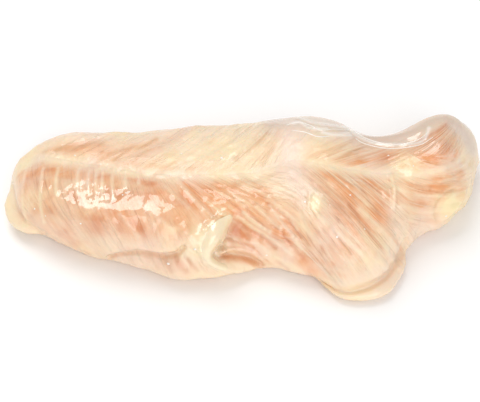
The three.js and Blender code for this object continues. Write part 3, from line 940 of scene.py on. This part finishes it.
def buildLeaf(skin):
    stations = leaf["stations"]
    across = leaf["across"]
    deselectAll()
    bpy.ops.mesh.primitive_grid_add(x_subdivisions=across - 1, y_subdivisions=len(stations) - 1, size=1)
    piece = bpy.context.object
    piece.name = "torn_skin_leaf"
    for i, (x, h, half, left, middle, right) in enumerate(stations):
        before = stations[max(i - 1, 0)]
        after = stations[min(i + 1, len(stations) - 1)]
        run = np.array([after[0] - before[0], after[1] - before[1]])
        side = np.array([-run[1], run[0]]) / np.linalg.norm(run)
        for j in range(across):
            t = 2 * j / (across - 1) - 1
            lift = np.interp(t, [-1, 0, 1], [left, middle, right])
            spot = np.array([x, h]) - side * half * t * (1 if side[0] < 0 else -1)
            piece.data.vertices[i * across + j].co = skin.point(spot[0], spot[1], lift)[0]
    applyModifier(piece, "SOLIDIFY", thickness=leaf["thickness"] * mm, offset=-1)
    applyModifier(piece, "SUBSURF", levels=leaf["rounding"], render_levels=leaf["rounding"])
    piece.data.shade_smooth()
    return piece


# Ropes of marinade along the edges of the film, and drops of it
rope = {
    "paths": [
        [(28.5, 19.4), (33, 17), (37, 15.5), (42, 14.9), (46.8, 16.1), (49.6, 18.2)],
        [(50.4, 16.6), (46.8, 14.6), (39.5, 13.8), (33, 15.2), (30.6, 16.6)],
        [(12.2, 20), (15, 20.8), (18, 20.2), (21, 18.6), (24.6, 19), (28, 18.8)],
        [(13.6, 18.6), (17, 18), (20.4, 16.8), (23.6, 17)],
    ],
    "radius": 0.17,
    "tip": 0.35,  # share of the radius that its ends keep
    "sunk": 0.05,
}
drops = {
    "count": 21,
    "seed": 11,
    "radius": (0.14, 0.36),
    "stretch": (0.8, 1.6),
    "flat": 0.5,
    "areas": [(-55, -7, -38, 3), (-30, -6, -16, 3), (-12, -1, 30, 3), (-45, 11, 0, 16),
              (4, -14, 34, -4), (36, -8, 54, 12), (-20, -16, 14, -12)],
}


def joinAll(pieces, name):
    deselectAll()
    for piece in pieces:
        piece.select_set(True)
    bpy.context.view_layer.objects.active = pieces[0]
    bpy.ops.object.join()
    joined = bpy.context.object
    joined.name = name
    joined.data.shade_smooth()
    return joined


def buildRopes(skin):
    pieces = []
    for path in rope["paths"]:
        deselectAll()
        bpy.ops.curve.primitive_nurbs_path_add()
        line = bpy.context.object
        bpy.ops.object.mode_set(mode="EDIT")
        bpy.ops.curve.select_all(action="SELECT")
        bpy.ops.curve.delete(type="VERT")
        bpy.ops.object.mode_set(mode="OBJECT")
        places = smoothPath(path, 6)
        spline = line.data.splines.new("POLY")
        spline.points.add(len(places) - 1)
        for i, (x, h) in enumerate(places):
            swell = math.sin(math.pi * (i + 0.5) / len(places)) ** 0.5
            spline.points[i].co = (*skin.point(x, h, -rope["sunk"])[0], 1)
            spline.points[i].radius = rope["tip"] + (1 - rope["tip"]) * swell
        line.data.dimensions = "3D"
        line.data.bevel_depth = rope["radius"] * mm
        line.data.bevel_resolution = 3
        line.data.use_fill_caps = True
        bpy.ops.object.convert(target="MESH")
        pieces.append(bpy.context.object)
    return joinAll(pieces, "marinade_ropes")


def buildDrops(skin):
    rng = np.random.default_rng(drops["seed"])
    pieces = []
    for i in range(drops["count"]):
        x0, h0, x1, h1 = drops["areas"][i % len(drops["areas"])]
        place, normal = skin.point(rng.uniform(x0, x1), rng.uniform(h0, h1))
        radius = rng.uniform(*drops["radius"]) * mm
        deselectAll()
        bpy.ops.mesh.primitive_uv_sphere_add(segments=16, ring_count=8, radius=radius)
        drop = bpy.context.object
        turn = normal.to_track_quat("Z", "Y")
        stretch = rng.uniform(*drops["stretch"])
        for vertex in drop.data.vertices:
            shape = Vector((vertex.co.x * stretch, vertex.co.y, vertex.co.z * drops["flat"]))
            vertex.co = turn @ shape + place
        pieces.append(drop)
    return joinAll(pieces, "marinade_drops")


def makeMarinadeMaterial():
    return newMaterial("thick_marinade", Coat_Weight=1.0, Coat_Roughness=0.05, Coat_IOR=1.6,
                       Roughness=0.35, Base_Color=tint("rim"))[0]


def makeLeafMaterial(mottle):
    material, tree, shader = newMaterial("torn_skin", **wetSkin)
    clouds = useGroup(tree, mottle, Size=2.6, Low=0.35, High=0.7)
    colour = mixColour(tree, times(tree, clouds, 0.6), tint("leaf"), tint("cream"))
    tree.links.new(colour, shader.inputs["Base Color"])
    return material


def buildFineParts(flesh, mottle):
    skin = Face(flesh)
    marinade = makeMarinadeMaterial()
    parts = [
        (buildLeaf(skin), makeLeafMaterial(mottle)),
        (buildRopes(skin), marinade),
        (buildDrops(skin), marinade),
    ]
    for piece, material in parts:
        piece.data.materials.clear()
        piece.data.materials.append(material)
        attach(piece, "root")
        print(piece.name, "with", len(piece.data.vertices), "points")


def buildTenderloin(streaks, mottle):
    flesh = copyFlesh()
    print("skin of", len(flesh.data.vertices), "points")
    raiseRelief(flesh)
    paintZones(flesh)
    flesh.data.materials.clear()
    flesh.data.materials.append(makeFleshMaterial(streaks, mottle))
    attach(flesh, "root")
    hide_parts("tenderloin")
    print("tenderloin dressed")
    return flesh


# Floor, light and camera
studio = {
    "floor": 6,
    "sky": 0.48,
    "key": {"size": (0.38, 0.50), "power": 2.1, "distance": 0.65, "azimuth": -148, "elevation": 62},
    "fill": {"size": (0.9, 0.9), "power": 4.4, "distance": 0.9, "azimuth": 12, "elevation": 34},
}
view = {"elevation": 50, "distance": 0.3467, "lens": 100, "sensor": 36}


def towards(azimuth, elevation):
    a, e = math.radians(azimuth), math.radians(elevation)
    return np.array([math.sin(a) * math.cos(e), -math.cos(a) * math.cos(e), math.sin(e)])


def aimAt(thing, place, target):
    thing.location = place
    direction = Vector(target) - Vector(place)
    thing.rotation_euler = direction.to_track_quat("-Z", "Y").to_euler()


def addSoftbox(name, target, settings):
    outward = towards(settings["azimuth"], settings["elevation"])
    place = np.array(target) + outward * settings["distance"]
    bpy.ops.object.light_add(type="AREA")
    lamp = bpy.context.object
    lamp.name = name
    lamp.data.shape = "RECTANGLE"
    lamp.data.size, lamp.data.size_y = settings["size"]
    lamp.data.energy = settings["power"]
    aimAt(lamp, place, target)


def buildStudio():
    deselectAll()
    bpy.ops.mesh.primitive_plane_add(size=studio["floor"], location=(0, 0, 0))
    floor = bpy.context.object
    floor.name = "studio_floor"
    floor.data.materials.append(newMaterial("floor_paper", Roughness=0.9, Base_Color=tint("floor"))[0])
    world = bpy.data.worlds.new("studio_sky")
    bpy.context.scene.world = world
    world.use_nodes = True
    world.node_tree.nodes["Background"].inputs["Color"].default_value = (1, 1, 1, 1)
    world.node_tree.nodes["Background"].inputs["Strength"].default_value = studio["sky"]
    x, y = face["middle"]
    middle = (-x * mm, -y * mm, face["zero"] / math.cos(face["lean"]) * mm)
    addSoftbox("key_light", middle, studio["key"])
    addSoftbox("fill_light", middle, studio["fill"])
    bpy.ops.object.camera_add()
    camera = bpy.context.object
    camera.data.lens = view["lens"]
    camera.data.sensor_width = view["sensor"]
    aimAt(camera, np.array(middle) + towards(0, view["elevation"]) * view["distance"], middle)
    bpy.context.scene.camera = camera
    bpy.context.scene.view_settings.view_transform = "Standard"
    print("studio ready")


mottle = makeMottle()
flesh = buildTenderloin(makeStreaks(), mottle)
buildFineParts(flesh, mottle)
buildStudio()
